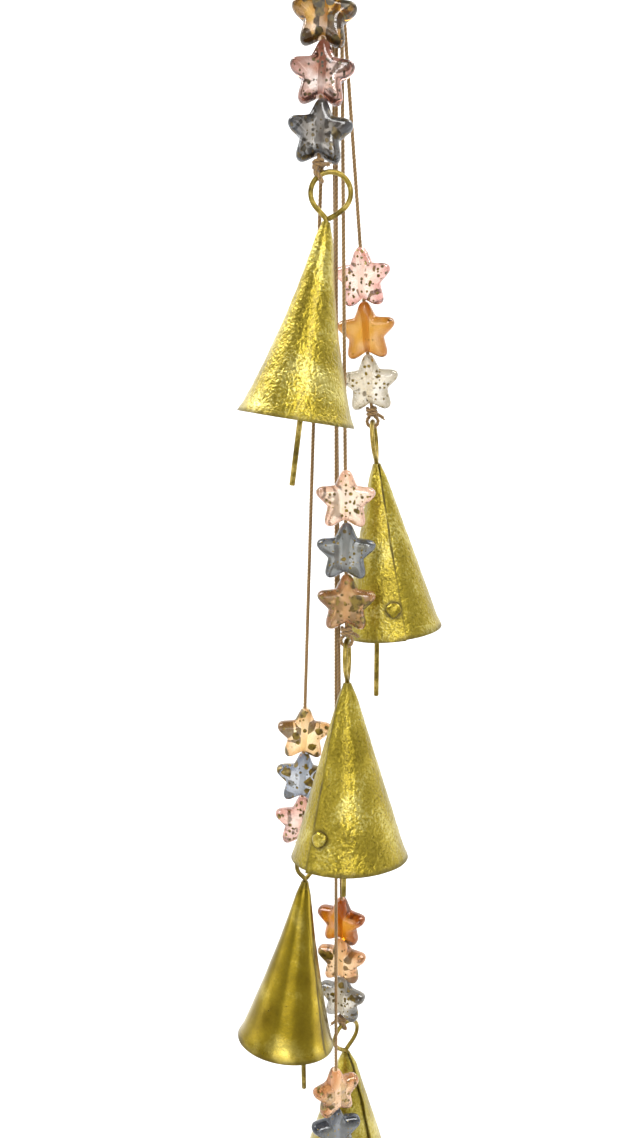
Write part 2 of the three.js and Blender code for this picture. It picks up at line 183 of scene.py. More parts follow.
class Graph:
    """A material's node tree, filled through one method."""

    def __init__(self, name: str) -> None:
        """Starts an empty material.

        Args:
            name: the material's name.
        """
        self.material = bpy.data.materials.new(name)
        self.material.use_nodes = True
        self.tree = self.material.node_tree
        self.tree.nodes.clear()

    def node(
        self,
        kind: str,
        settings: Mapping[str, Any],
        inputs: Mapping[Any, Any],
        output: str | int = 0,
    ) -> Field:
        """Adds one node.

        Args:
            kind: the node's type.
            settings: its own settings, and the stops of a ramp.
            inputs: fields, values or colour codes for its sockets, by name or place.
            output: which output is wanted.

        Returns:
            That output.
        """
        made = self.tree.nodes.new(kind)
        for key, value in settings.items():
            if key == "stops":
                ramp = made.color_ramp.elements
                while len(ramp) < len(value):
                    ramp.new(1.0)
                for stop, (position, code) in zip(ramp, value):
                    stop.position = position
                    stop.color = tint(code)
            else:
                setattr(made, key, value)
        for key, value in inputs.items():
            if isinstance(value, Field):
                self.tree.links.new(value.socket, made.inputs[key])
            else:
                made.inputs[key].default_value = tint(value) if isinstance(value, str) else value
        return Field(self, made.outputs[output])

    def place(self, stretch: Triple = (1.0, 1.0, 1.0)) -> Field:
        """The point on the piece as it lies at rest, with each direction drawn out."""
        point = self.node("ShaderNodeTexCoord", {}, {}, "Object")
        return self.node("ShaderNodeMapping", {}, {"Vector": point, "Scale": stretch})

    def noise(self, point: Field, size_mm: float, detail: float = 2.0) -> Field:
        """Soft noise round 0.5, of a grain and with finer layers in it."""
        inputs = {"Vector": point, "Scale": 1.0 / (size_mm * MM), "Detail": detail}
        return self.node("ShaderNodeTexNoise", {}, inputs)

    def cells(self, point: Field, size_mm: float) -> Field:
        """Distance to the nearest of many scattered points, as a share of the cells' size."""
        inputs = {"Vector": point, "Scale": 1.0 / (size_mm * MM)}
        return self.node("ShaderNodeTexVoronoi", {"feature": "F1"}, inputs, "Distance")

    def value(self, name: str) -> Field:
        """A value that the mesh carries."""
        return self.node("ShaderNodeAttribute", {"attribute_name": name}, {}, "Fac")

    def ramp(self, factor: Field, *stops: tuple[float, str]) -> Field:
        """Colours along a value, given as places and colour codes."""
        return self.node("ShaderNodeValToRGB", {"stops": stops}, {"Fac": factor})

    def mix(self, factor: Value, first: Any, second: Any) -> Field:
        """Blends two colours, by the share of the second."""
        inputs = {0: factor, 6: first, 7: second}
        return self.node("ShaderNodeMix", {"data_type": "RGBA"}, inputs, 2)

    def bump(self, height: Field, strength: float, depth_mm: float) -> Field:
        """A normal tilted by a height from 0 to 1 that is so deep."""
        inputs = {"Height": height, "Strength": strength, "Distance": depth_mm * MM}
        return self.node("ShaderNodeBump", {}, inputs)

    def skin(self, inputs: Mapping[str, Any]) -> Field:
        """A surface with the given inputs."""
        return self.node("ShaderNodeBsdfPrincipled", {}, inputs)

    def either(self, factor: Field, first: Field, second: Field) -> Field:
        """Blends two surfaces, by the share of the second."""
        return self.node("ShaderNodeMixShader", {}, {0: factor, 1: first, 2: second})

    def finish(self, shader: Field) -> Material:
        """Closes the tree with its output.

        Args:
            shader: the last shader.

        Returns:
            The material.
        """
        output = self.tree.nodes.new("ShaderNodeOutputMaterial")
        self.tree.links.new(shader.socket, output.inputs["Surface"])
        return self.material


@dataclass(frozen=True)
class BrassSheet:
    """Olive-gold brassed sheet with a grainy skin and the painted shade that the mesh carries:
    colour codes, and grains in millimetres.
    """

    name: str
    surface: Surface
    # The dark colour of the pits, flecks and wear, also used for the painted shade.
    pit: str = "3a2e05"
    olive: str = "766610"
    gold: str = "a08e30"
    pale: str = "cfc478"
    cloud: float = 14.0
    lump: float = 1.5
    grain: float = 0.8
    fleck: float = 4.2
    scab: float = 1.9
    relief: float = 0.55

    def make(self) -> Material:
        """Builds the material.

        Returns:
            The material.
        """
        g = Graph(self.name)
        point = g.place()
        strong = self.surface.value
        cloud = g.noise(point, self.cloud, 3.0)
        grain = g.noise(point, self.grain, 3.0)
        lump = g.noise(point, self.lump, 1.0)
        share = 0.1 + 0.3 * strong
        tone = cloud * (1 - share) + grain * share
        colour = g.ramp(tone, (0.3, self.olive), (0.52, self.gold), (0.72, self.pale))
        pits = (1.0 - grain.ease(0.26, 0.42)) * (0.4 * strong)
        flecks = (g.cells(point, self.fleck) < 0.07) * 0.6
        worn = g.value("wear") * cloud.ease(0.42, 0.62) * 0.5
        # Pits, flecks and wear are the sheet's own; the mesh's painted shade is laid on in the same
        # dark colour.
        dirt_and_shade = pits | flecks | worn | (g.value("soil") * 0.85)
        height = lump * 0.4 + grain * 0.6 + g.value("scar") * g.cells(point, self.scab)
        shader = g.skin({
            "Base Color": g.mix(dirt_and_shade, colour, self.pit),
            "Metallic": 0.92 - dirt_and_shade * 0.35,
            "Roughness": 0.23 + grain * (0.4 * share) + dirt_and_shade * 0.25,
            "Coat Weight": 0.1,
            "Coat Roughness": 0.15,
            "Normal": g.bump(height, 0.95 * strong, self.relief),
        })
        return g.finish(shader)


@dataclass(frozen=True)
class DullWire:
    """Bent wire with a worn brassed skin, darker where it was handled."""

    name: str
    dark: str = "4a3c19"
    body: str = "806e2c"
    bright: str = "bda65c"
    cloud: float = 5.0
    grain: float = 0.7

    def make(self) -> Material:
        """Builds the material.

        Returns:
            The material.
        """
        g = Graph(self.name)
        point = g.place()
        grain = g.noise(point, self.grain)
        tone = g.noise(point, self.cloud, 3.0) * 0.7 + grain * 0.3
        shader = g.skin({
            "Base Color": g.ramp(tone, (0.32, self.dark), (0.5, self.body), (0.68, self.bright)),
            "Metallic": 0.88,
            "Roughness": 0.28 + grain * 0.3,
            "Normal": g.bump(grain, 0.5, 0.12),
        })
        return g.finish(shader)


@dataclass(frozen=True)
class WaxedCord:
    """Tan twisted cord, with painted shade in the grooves between its plies."""

    name: str
    # Colour of the painted shade between the plies.
    groove: str = "35240e"
    fibre: str = "7c5e34"
    light: str = "aa8652"
    thread: float = 0.22
    patch: float = 9.0

    def make(self) -> Material:
        """Builds the material.

        Returns:
            The material.
        """
        g = Graph(self.name)
        threads = g.noise(g.place((1.0, 1.0, 0.35)), self.thread)
        tone = threads * 0.6 + g.noise(g.place(), self.patch) * 0.4
        colour = g.ramp(tone, (0.3, self.fibre), (0.7, self.light))
        shader = g.skin({
            # Painted shade in the grooves between the plies.
            "Base Color": g.mix(g.value("groove") * 0.65, colour, self.groove),
            "Roughness": 0.62 + threads * 0.25,
            "Sheen Weight": 0.25,
            "Sheen Roughness": 0.5,
            "Normal": g.bump(threads, 0.6, 0.08),
        })
        return g.finish(shader)


@dataclass(frozen=True)
class Acrylic:
    """Translucent acrylic with gold leaf flecks, deeper in colour at the rim and darker there with
    painted shade.

    Spots and specks say how much large and small leaf it has, clear how much of it is
    colourless, and milk how much of it scatters light.
    """

    body: str
    # The rim's colour: a deeper tint, darkened with painted shade.
    rim: str
    spots: float
    specks: float
    clear: float
    milk: float = 0.2
    leaf: tuple[str, str] = ("4f3f16", "86702c")
    glass: str = "f6f3ee"
    spot_size: float = 3.9
    speck_size: float = 1.3

    def make(self, name: str) -> Material:
        """Builds the material.

        Args:
            name: the material's name.

        Returns:
            The material.
        """
        g = Graph(name)
        point = g.place()
        warp = g.noise(point, 1.6)
        haze = g.noise(point, 6.5)
        body = g.mix(haze.ease(0.42, 0.66) * self.clear, self.body, self.glass)
        big = g.cells(point, self.spot_size)
        large = big < (big.chance() * (self.spots * 0.8) + warp * 0.3 - 0.26)
        tiny = g.cells(point, self.speck_size)
        small = tiny < (tiny.chance() * (self.specks * 0.85) + warp * 0.24 - 0.3)
        skin = g.skin({
            # Towards the rim: a deeper tint and painted shade.
            "Base Color": g.mix(g.value("rim"), body, self.rim),
            "Roughness": 0.06 + haze * 0.1,
            "IOR": 1.49,
            "Transmission Weight": 1.0 - self.milk,
            "Specular IOR Level": 0.22,
            "Coat Weight": 0.06,
            "Coat Roughness": 0.05,
            "Normal": g.bump(warp, 0.25, 0.15),
        })
        leaf = g.skin({
            "Base Color": g.mix(warp.ease(0.4, 0.65), *self.leaf),
            "Metallic": 0.3,
            "Roughness": 0.38,
            "Coat Weight": 0.15,
            "Coat Roughness": 0.08,
        })
        # The bore's wall: frosted, and glowing by itself, painted light that brightens it.
        frost_and_glow = g.skin({
            "Base Color": g.mix(0.4, body, self.glass),
            "Roughness": 0.8,
            "Emission Color": body,
            "Emission Strength": 0.8,
        })
        flecked = g.either(large | small, skin, leaf)
        return g.finish(g.either(g.value("bore") * 0.75, flecked, frost_and_glow))


@dataclass(frozen=True)
class PaleCove:
    """The studio's plain pale paper."""

    name: str
    light: Colour = (0.72, 0.72, 0.715, 1.0)
    shade: Colour = (0.70, 0.70, 0.697, 1.0)
    cloud: float = 400.0

    def make(self) -> Material:
        """Builds the material.

        Returns:
            The material.
        """
        g = Graph(self.name)
        colour = g.mix(g.noise(g.place(), self.cloud, 1.0), self.light, self.shade)
        return g.finish(g.skin({"Base Color": colour, "Roughness": 0.9}))


@dataclass
class Form:
    """A mesh in the making: points in millimetres, faces, and values on points."""

    points: list[Vector] = field(default_factory=list)
    faces: list[tuple[int, ...]] = field(default_factory=list)
    values: dict[str, list[float]] = field(default_factory=dict)

    def add(self, other: "Form") -> None:
        """Takes another form in.

        Args:
            other: the form to take in.
        """
        start = len(self.points)
        for key in set(self.values) | set(other.values):
            mine = self.values.setdefault(key, [0.0] * start)
            mine.extend(other.values.get(key, [0.0] * len(other.points)))
        self.points.extend(other.points)
        self.faces.extend(tuple(i + start for i in f) for f in other.faces)

    def moved(self, matrix: Matrix) -> "Form":
        """The same form in another place."""
        points = [matrix @ p for p in self.points]
        return Form(points, list(self.faces), {k: list(v) for k, v in self.values.items()})

    def rings(self, first: int, rows: int, count: int) -> None:
        """Joins rows of points, each closed to a ring, with faces that look outward.

        Args:
            first: the first point.
            rows: how many rows.
            count: points in each row.
        """
        for row in range(first, first + (rows - 1) * count, count):
            for k in range(count):
                n = (k + 1) % count
                self.faces.append((row + k, row + n, row + count + n, row + count + k))

    def mesh(self, name: str, crease: float = CREASE) -> bpy.types.Mesh:
        """Makes a Blender mesh in metres.

        Args:
            name: the mesh's name.
            crease: the least angle that stays sharp, in degrees.

        Returns:
            The mesh.
        """
        mesh = bpy.data.meshes.new(name)
        mesh.from_pydata([p * MM for p in self.points], [], self.faces)
        for key, values in self.values.items():
            mesh.attributes.new(key, "FLOAT", "POINT").data.foreach_set("value", values)
        mesh.validate()
        mesh.shade_smooth()
        mesh.set_sharp_from_angle(angle=radians(crease))
        return mesh


@dataclass(frozen=True)
class Axes:
    """A right-handed frame in millimetres."""

    x: Vector
    y: Vector
    z: Vector
    origin: Vector

    @property
    def matrix(self) -> Matrix:
        """The frame as a matrix."""
        turn = Matrix((self.x, self.y, self.z)).transposed().to_4x4()
        return Matrix.Translation(self.origin) @ turn

    def at(self, x: float, y: float, z: float) -> Vector:
        """A point given in this frame."""
        return self.origin + self.x * x + self.y * y + self.z * z


def heading(z: Vector, degrees: float, origin: Vector) -> Axes:
    """A frame with a given z, whose x heads as near as it can to a compass heading.

    Args:
        z: the frame's z.
        degrees: the heading, from +X towards +Y.
        origin: the frame's origin.

    Returns:
        The frame.
    """
    x = polar(1.0, radians(degrees))
    x = (x - z * x.dot(z)).normalized()
    return Axes(x, z.cross(x), z, origin)


def curve_through(points: Sequence[Vector], steps: int) -> list[Vector]:
    """A smooth line through points.

    Args:
        points: the points in order.
        steps: how many steps each stretch gets.

    Returns:
        The points of the line.
    """
    line: list[Vector] = []
    last = len(points) - 1
    for i in range(last):
        before = points[i - 1] if i else points[0] * 2 - points[1]
        after = points[i + 2] if i + 2 <= last else points[last] * 2 - points[last - 1]
        a, b = points[i], points[i + 1]
        square = 2 * before - 5 * a + 4 * b - after
        cube = 3 * a - before - 3 * b + after
        for t in shares(steps)[:-1]:
            line.append(0.5 * (2 * a + (b - before) * t + square * t * t + cube * t ** 3))
    line.append(points[last].copy())
    return line


def line_between(start: Vector, end: Vector, step: float) -> list[Vector]:
    """Evenly spaced points on a straight line, about a step apart."""
    count = max(2, round((end - start).length / step))
    return [start.lerp(end, t) for t in shares(count)]


@dataclass(frozen=True)
class Section:
    """The section of a swept tube: round, or of plies laid round each other."""

    radius: float
    sides: int
    plies: int = 0
    groove: float = 0.0
    pitch: float = 1.0
    end_bevel: float = 0.0

    def at(self, angle: float, along: float) -> Pair:
        """The section's radius and how deep in a groove it lies.

        Args:
            angle: the angle round the tube.
            along: how far along the tube, in millimetres.

        Returns:
            The radius and the groove from 0 to 1.
        """
        if not self.plies:
            return self.radius, 0.0
        turn = self.plies * (angle - TURN * along / self.pitch)
        deep = (0.5 - 0.5 * cos(turn)) ** 2
        return self.radius * (1 - self.groove * deep), deep


def sweep(path: Sequence[Vector], section: Section) -> Form:
    """A closed tube along a line.

    Args:
        path: the points that the tube follows.
        section: the tube's section.

    Returns:
        The tube.
    """
    line = [p.copy() for p in path]
    bevel = section.end_bevel * section.radius
    for end, beside, spot in ((0, 1, 1), (-1, -2, -1)):
        way = line[beside] - line[end]
        if bevel and way.length > 1.5 * bevel:
            line.insert(spot, line[end] + way.normalized() * bevel)
    last = len(line) - 1
    ways = [(line[min(i + 1, last)] - line[max(i - 1, 0)]).normalized() for i in range(last + 1)]
    side = ways[0].orthogonal().normalized()
    form = Form(values={"groove": []})
    along = 0.0
    count = section.sides
    for i, here in enumerate(line):
        if i:
            along += (here - line[i - 1]).length
            side = ways[i - 1].rotation_difference(ways[i]) @ side
        other = ways[i].cross(side)
        grow = 1 - section.end_bevel if i in (0, last) else 1.0
        for k in range(count):
            a = TURN * k / count
            r, deep = section.at(a, along)
            form.points.append(here + (side * cos(a) + other * sin(a)) * (r * grow))
            form.values["groove"].append(deep)
    form.rings(0, last + 1, count)
    form.faces.append(tuple(range(count - 1, -1, -1)))
    form.faces.append(tuple(range(last * count, (last + 1) * count)))
    return form


def turned(
    profile: Sequence[Pair],
    sides: int,
    wobble: float = 0.0,
    seed: float = 0.0,
    closed: bool = True,
) -> Form:
    """A body turned about z, slightly uneven.

    Args:
        profile: radius and height pairs, of which the first lies on the axis.
        sides: how many sides it has.
        wobble: share by which its radius wanders.
        seed: which wandering it gets.
        closed: whether the profile's last pair lies on the axis too.

    Returns:
        The body.
    """
    form = Form([UP * profile[0][1]])
    rows = profile[1:-1] if closed else profile[1:]
    for r, z in rows:
        for k in range(sides):
            way = polar(1.0, TURN * k / sides)
            uneven = 1 + wobble * noise.noise(way * 1.4 + Vector((seed, seed, z * 0.5)))
            form.points.append(way * (r * uneven) + UP * z)
    form.rings(1, len(rows), sides)
    last = len(form.points)
    around = [(k, (k + 1) % sides) for k in range(sides)]
    form.faces.extend((0, 1 + n, 1 + k) for k, n in around)
    if closed:
        form.points.append(UP * profile[-1][1])
        form.faces.extend((last - sides + k, last - sides + n, last) for k, n in around)
    return form


def put(form: Form, name: str, material: Material, crease: float) -> bpy.types.Object:
    """Puts a form in the scene.

    Args:
        form: the form.
        name: the object's name.
        material: its finish.
        crease: the least angle that stays sharp, in degrees.

    Returns:
        The object.
    """
    made = bpy.data.objects.new(name, form.mesh(name, crease))
    bpy.context.scene.collection.objects.link(made)
    made.data.materials.append(material)
    return made


def show(
    form: Form,
    name: str,
    body: str,
    node: str,
    slot: str,
    material: Material,
    crease: float = CREASE,
) -> bpy.types.Object:
    """Puts a form in the scene as the piece that stands for a node.

    Args:
        form: the form.
        name: the piece's name.
        body: what it rides on.
        node: what it stands for.
        slot: the record's material slot; not used.
        material: its finish.
        crease: the least angle that stays sharp, in degrees.

    Returns:
        The object.
    """
    piece = put(form, name, material, crease)
    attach(piece, body)
    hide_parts(node)
    LOG.info("%s rides on %s, %d points", name, body, len(form.points))
    return piece


@dataclass(frozen=True)
class Gauge:
    """Sizes that several pieces share, in millimetres; wires and cords by their radius."""

    seat: float = 0.35
    nest: float = 0.5
    neck_fit: float = 0.35
    bore_fit: float = 0.55
    lap_fit: float = 0.35
    cord: float = 0.65
    wire: float = 0.8
    rod: float = 0.9
    wall: float = 0.7
    flare: float = 0.5
    ring: float = 7.6
    ring_wire: float = 1.1
    gather: float = 4.3
    gather_height: float = 8.4
    gather_slack: float = 0.15
    knot: float = 2.1
    knot_height: float = 3.6
    loop_slack: float = 0.08
    eye: float = 6.0
    eye_rise: float = 8.5
    eyelet: float = 2.25
    eyelet_step: float = 0.02
    star_tip: float = 10.2
    star_valley: float = 6.5

    @property
    def ring_centre(self) -> Vector:
        """Centre of the hanging ring."""
        return Vector((0, 0, self.ring_wire - self.ring))

    @property
    def saddle(self) -> Vector:
        """Where the gathering knot's loop rides on the ring."""
        return self.ring_centre - UP * self.ring

    @property
    def gather_loop(self) -> float:
        """Radius of the gathering knot's loop."""
        return self.ring_wire + self.seat + self.cord + self.gather_slack

    @property
    def exit_height(self) -> float:
        """Height at which the cords leave the gathering knot."""
        return self.saddle.z - self.gather_loop - self.gather_height - self.seat

    @property
    def loop(self) -> float:
        """Radius of a knot's loop round the eye wire."""
        return self.wire + self.seat + self.cord + self.loop_slack


GAUGE = Gauge()
PLY = Section(GAUGE.cord, 15, plies=3, groove=0.26, pitch=3.9)
PLY_STEP = 0.42


def tied(extra: float, pitch: float) -> Section:
    """The section of tied cord, which is pressed thicker or thinner than where it hangs."""
    return Section(GAUGE.cord + extra, 12, plies=3, groove=0.24, pitch=pitch, end_bevel=0.2)


@dataclass(frozen=True)
class Hang:
    """How one strand hangs: millimetres and degrees, as the frame has it.

    Exit and hitch are the cord's ends. Turn is the eye's heading, and loop_place where on
    the eye the loop lies. Right and front are the bell's lean. Reach is the clapper's
    length, and held the share of the cord that the neighbours hold. Each scar is a rough
    patch: its heading, its share of the height and its size.
    """

    number: int
    exit: Pair
    hitch: Triple
    turn: float
    right: float
    front: float
    mouth: float
    height: float
    seam: float
    reach: float
    star_turns: Triple
    curl: float
    acrylics: tuple[Acrylic, Acrylic, Acrylic]
    loop_place: float = 0.0
    waist: float = 0.0
    lap: Lap = Lap.RIGHT
    sway: float = 0.0
    rock: float = 0.0
    surface: Surface = Surface.HAMMERED
    held: float = 0.0
    scars: tuple[Triple, ...] = ()

    @property
    def top(self) -> Vector:
        """Where the cord leaves the gathering knot."""
        return Vector((self.exit[0], self.exit[1], GAUGE.exit_height))

    @property
    def low(self) -> Vector:
        """Where the cord's loop holds the eye."""
        return Vector(self.hitch)

    @property
    def rise(self) -> Vector:
        """The way up along the cord."""
        return (self.top - self.low).normalized()

    @property
    def down(self) -> Vector:
        """The way down along the bell's axis."""
        right, front = (tan(radians(a)) for a in (self.right, self.front))
        return Vector((right, -front, -1.0)).normalized()

    @property
    def to_loop(self) -> Vector:
        """The way from the eye's centre to the loop."""
        eye = heading(-self.down, self.turn, Vector())
        plumb = (UP - eye.y * UP.dot(eye.y)).normalized()
        level = eye.y.cross(plumb)
        a = radians(self.loop_place)
        return plumb * cos(a) + level * sin(a)

    @property
    def bell(self) -> Axes:
        """The bell's frame, with its origin at the apex."""
        centre = self.low - self.to_loop * GAUGE.eye
        return heading(-self.down, self.turn, centre + self.down * GAUGE.eye_rise)

    @property
    def seam_axes(self) -> Axes:
        """The frame whose x points at the lapped edge."""
        return heading(-self.down, self.seam, self.bell.origin)

    @property
    def apex(self) -> float:
        """The cone's inner radius at the apex."""
        return GAUGE.wire + GAUGE.neck_fit

    @property
    def slope(self) -> float:
        """How much the straight cone widens for each millimetre of height."""
        return (self.mouth / 2 - GAUGE.wall - GAUGE.flare - self.apex) / self.height

    def inner(self, t: float) -> float:
        """The cone's inner radius at a share of its height, without the flare."""
        return self.apex + self.slope * self.height * t - self.waist * 4 * t * (1 - t)

    def lean(self, t: float) -> float:
        """The lean of the cone's side at a share of its height."""
        return atan(self.slope - self.waist * 4 * (1 - 2 * t) / self.height)

    @property
    def eyelet_depth(self) -> float:
        """Depth under the apex at which the cone has room for the small eyelet."""
        depth = 0.0
        room = GAUGE.eyelet + GAUGE.wire + GAUGE.seat
        while self.inner(depth / self.height) * cos(self.lean(depth / self.height)) < room:
            depth += GAUGE.eyelet_step
        return depth

    @property
    def knot_top(self) -> float:
        """Height of the knot's top above the hitch, along the cord."""
        return GAUGE.loop + GAUGE.knot_height


@dataclass
class HangingRing:
    """The wire ring on the hook, and the gathering knot looped under it."""

    strands: Sequence[Hang]
    wire: Material
    cord: Material
    joint_at: float = 200.0
    joint_gap: float = 1.2
    warp: float = 0.12
    ring_steps: int = 120
    turns: float = 5.6
    coil_steps: int = 190
    coil_short: float = 2.3
    coil_waist: float = 0.1
    coil_tuck: float = 0.32
    loop_reach: float = 128.0
    loop_part: float = 60.0
    loop_gap: float = 0.62
    loop_spread: float = 0.5
    loop_steps: int = 40
    stub: float = 0.15
    crown_share: float = 0.45
    crown_rise: float = 0.6

    def build(self) -> None:
        """Builds both pieces."""
        show(self.ring(), "wire_ring", "hanger", "hanging_ring", "wire", self.wire)
        knot = self.knot()
        show(knot, "cord_whipping", "bundle", "gathering_knot", "cord", self.cord, CORD_CREASE)

    def ring(self) -> Form:
        """The ring, bent from one wire whose ends meet at one side.

        Returns:
            The ring.
        """
        points = []
        for i in range(self.ring_steps + 1):
            turn = (360 - self.joint_gap) * i / self.ring_steps
            a = radians(self.joint_at + self.joint_gap / 2 + turn)
            way = Vector((cos(a), self.warp * sin(3 * a) / GAUGE.ring, sin(a)))
            points.append(GAUGE.ring_centre + way * GAUGE.ring)
        return sweep(points, Section(GAUGE.ring_wire, 18, end_bevel=0.12))

    def knot(self) -> Form:
        """Cord wound round the bundle, with a double loop over the ring.

        Returns:
            The knot.
        """
        top = GAUGE.saddle.z - GAUGE.gather_loop
        foot = top - GAUGE.gather_height
        ply = tied(0.1, 4.2)
        r = GAUGE.gather - ply.radius
        coil = []
        for t in shares(self.coil_steps):
            waist = self.coil_waist * sin(pi * t) ** 2
            swell = r * (1 - waist - self.coil_tuck * smooth(0.9, 1.0, t))
            z = foot + ply.radius + (GAUGE.gather_height - self.coil_short) * t
            coil.append(polar(swell, TURN * self.turns * t, z))
        form = sweep(coil, ply)
        for side in (-1, 1):
            loop = []
            for i in range(self.loop_steps + 1):
                degrees = -self.loop_reach + 2 * self.loop_reach * i / self.loop_steps
                spread = self.loop_spread * smooth(self.loop_part, self.loop_reach, abs(degrees))
                x = side * (self.loop_gap + spread)
                z, y, _ = polar(GAUGE.gather_loop, radians(degrees))
                loop.append(GAUGE.saddle + Vector((x, y, z)))
            form.add(sweep(loop, tied(-0.05, 3.9)))
        for strand in self.strands:
            x, y = strand.exit
            crown = Vector((x * self.crown_share, y * self.crown_share, top + self.crown_rise))
            form.add(sweep(line_between(Vector((x, y, foot - self.stub)), crown, PLY_STEP), PLY))
        return form


@dataclass
class StrandCord:
    """One hanging cord with the knot that holds its bell."""

    hang: Hang
    cord: Material
    wraps: float = 2.1
    wrap_steps: int = 96
    wrap_foot: float = 0.25
    wrap_short: float = 0.9
    foot_tuck: float = 0.25
    top_tuck: float = 0.5
    cross_share: float = 1.04
    cross: tuple[Pair, ...] = ((0.2, 0.4), (0.9, 1.2), (1.5, 2.1), (2.2, 2.9))
    loop_from: float = 35.0
    loop_turn: float = 290.0
    loop_points: int = 16
    loop_root: float = 2.0
    loop_gap: float = 0.75
    bend_reach: float = 4.0
    tail_length: float = 4.0
    tail_root: float = 0.3
    tail_drop: float = 0.5
    tail_way: Triple = (0.62, 0.7, 0.35)
    threads: int = 7
    thread_section: Section = Section(0.12, 6, end_bevel=0.3)

    def build(self) -> None:
        n = self.hang.number
        body = f"strand_{n}"
        form = self.knot()
        knot = show(form, f"tied_knot_{n}", body, f"knot_{n}", "cord", self.cord, CORD_CREASE)
        start = self.hang.top
        end = self.hang.low + self.hang.rise * (self.hang.knot_top + GAUGE.seat)
        form = sweep(line_between(start, end, PLY_STEP), PLY)
        name = f"twisted_cord_{n}"
        if self.hang.held:
            piece = self.bent(form, name)
        else:
            piece = show(form, name, body, f"cord_{n}", "cord", self.cord, CORD_CREASE)
        (end - start).length * MM
        [tuple(p * MM) for p in line_between(start, end, (end - start).length / 24)]

    def bent(self, form: Form, name: str) -> bpy.types.Object:
        """The cord whose upper part its neighbours hold, put in the scene with its place baked into
        its points.

        Args:
            form: the cord's form.
            name: the piece's name.

        Returns:
            The object.
        """
        n = self.hang.number
        piece = put(form, name, self.cord, CORD_CREASE)
        free = self.hang.top.lerp(self.hang.low, self.hang.held)
        reach = self.hang.rise * self.bend_reach
        start, end = (free + reach) * MM, (free - reach) * MM
        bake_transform(piece)
        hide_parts(f"cord_{n}_held", f"cord_{n}")
        LOG.info("%s bends between bundle and strand_%d", name, n)
        return piece

    def knot(self) -> Form:
        """Wraps round the cord, a loop round the eye wire and a cut tail.

        Returns:
            The knot.
        """
        hang = self.hang
        axes = heading(hang.rise, 25.0 * hang.number, hang.low)
        ply = tied(-0.02, 3.6)
        r = GAUGE.knot - ply.radius
        coil = []
        for t in shares(self.wrap_steps):
            a = TURN * self.wraps * t
            tucked = self.top_tuck * smooth(0.82, 1.0, t)
            wide = r * (1 - tucked - self.foot_tuck * smooth(0.18, 0.0, t))
            z = GAUGE.loop + self.wrap_foot + (GAUGE.knot_height - self.wrap_short) * t
            coil.append(axes.at(wide * cos(a), wide * sin(a), z))
        form = sweep(coil, ply)
        core_foot = axes.at(0, 0, GAUGE.loop * 0.9)
        core_top = axes.at(0, 0, hang.knot_top + GAUGE.seat)
        form.add(sweep(line_between(core_foot, core_top, PLY_STEP), PLY))
        wide = r * self.cross_share
        cross = []
        for b, z in self.cross:
            cross.append(axes.at(wide * cos(b), wide * sin(b), GAUGE.loop + z))
        form.add(sweep(curve_through(cross, 6), ply))
        form.add(self.loop())
        form.add(self.tail(ply))
        return form

    def loop(self) -> Form:
        """The loop round the eye wire, whose two ends go up into the wraps.

        Returns:
            The loop.
        """
        hang = self.hang
        side = hang.bell.y
        root = hang.low + hang.rise * (GAUGE.loop + self.loop_root)
        ring = [root + side * self.loop_gap]
        for i in range(self.loop_points):
            a = radians(self.loop_from + self.loop_turn * i / (self.loop_points - 1))
            reach = hang.to_loop * cos(a) + side * sin(a)
            ring.append(hang.low + reach * GAUGE.loop)
        ring.append(root - side * self.loop_gap)
        return sweep(curve_through(ring, 3), tied(-0.03, 3.6))

    def tail(self, ply: Section) -> Form:
        """The cut tail with its frayed threads.

        Args:
            ply: the tail's section.

        Returns:
            The tail.
        """
        hang = self.hang
        draw = random.Random(40 + hang.number)
        side = hang.bell.y
        ahead, aside, below = self.tail_way
        way = (side.cross(hang.to_loop) * ahead - side * aside - UP * below).normalized()
        root = hang.low + hang.rise * (GAUGE.loop + GAUGE.knot_height * self.tail_root)
        root = root + way * (GAUGE.knot * 0.5)
        tip = root + way * self.tail_length - UP * self.tail_drop
        middle = root + way * (self.tail_length * 0.5)
        form = sweep(curve_through([root, middle, tip], 6), ply)
        for _ in range(self.threads):
            stray = Vector((draw.uniform(-1, 1), draw.uniform(-1, 1), draw.uniform(-1, 1)))
            start = tip - way * 0.6 + stray * 0.3
            end = tip + way * draw.uniform(0.3, 0.8) + stray * 0.55 - UP * 0.2
            bow = start.lerp(end, 0.5) + stray * 0.15
            form.add(sweep(curve_through([start, bow, end], 4), self.thread_section))
        return form


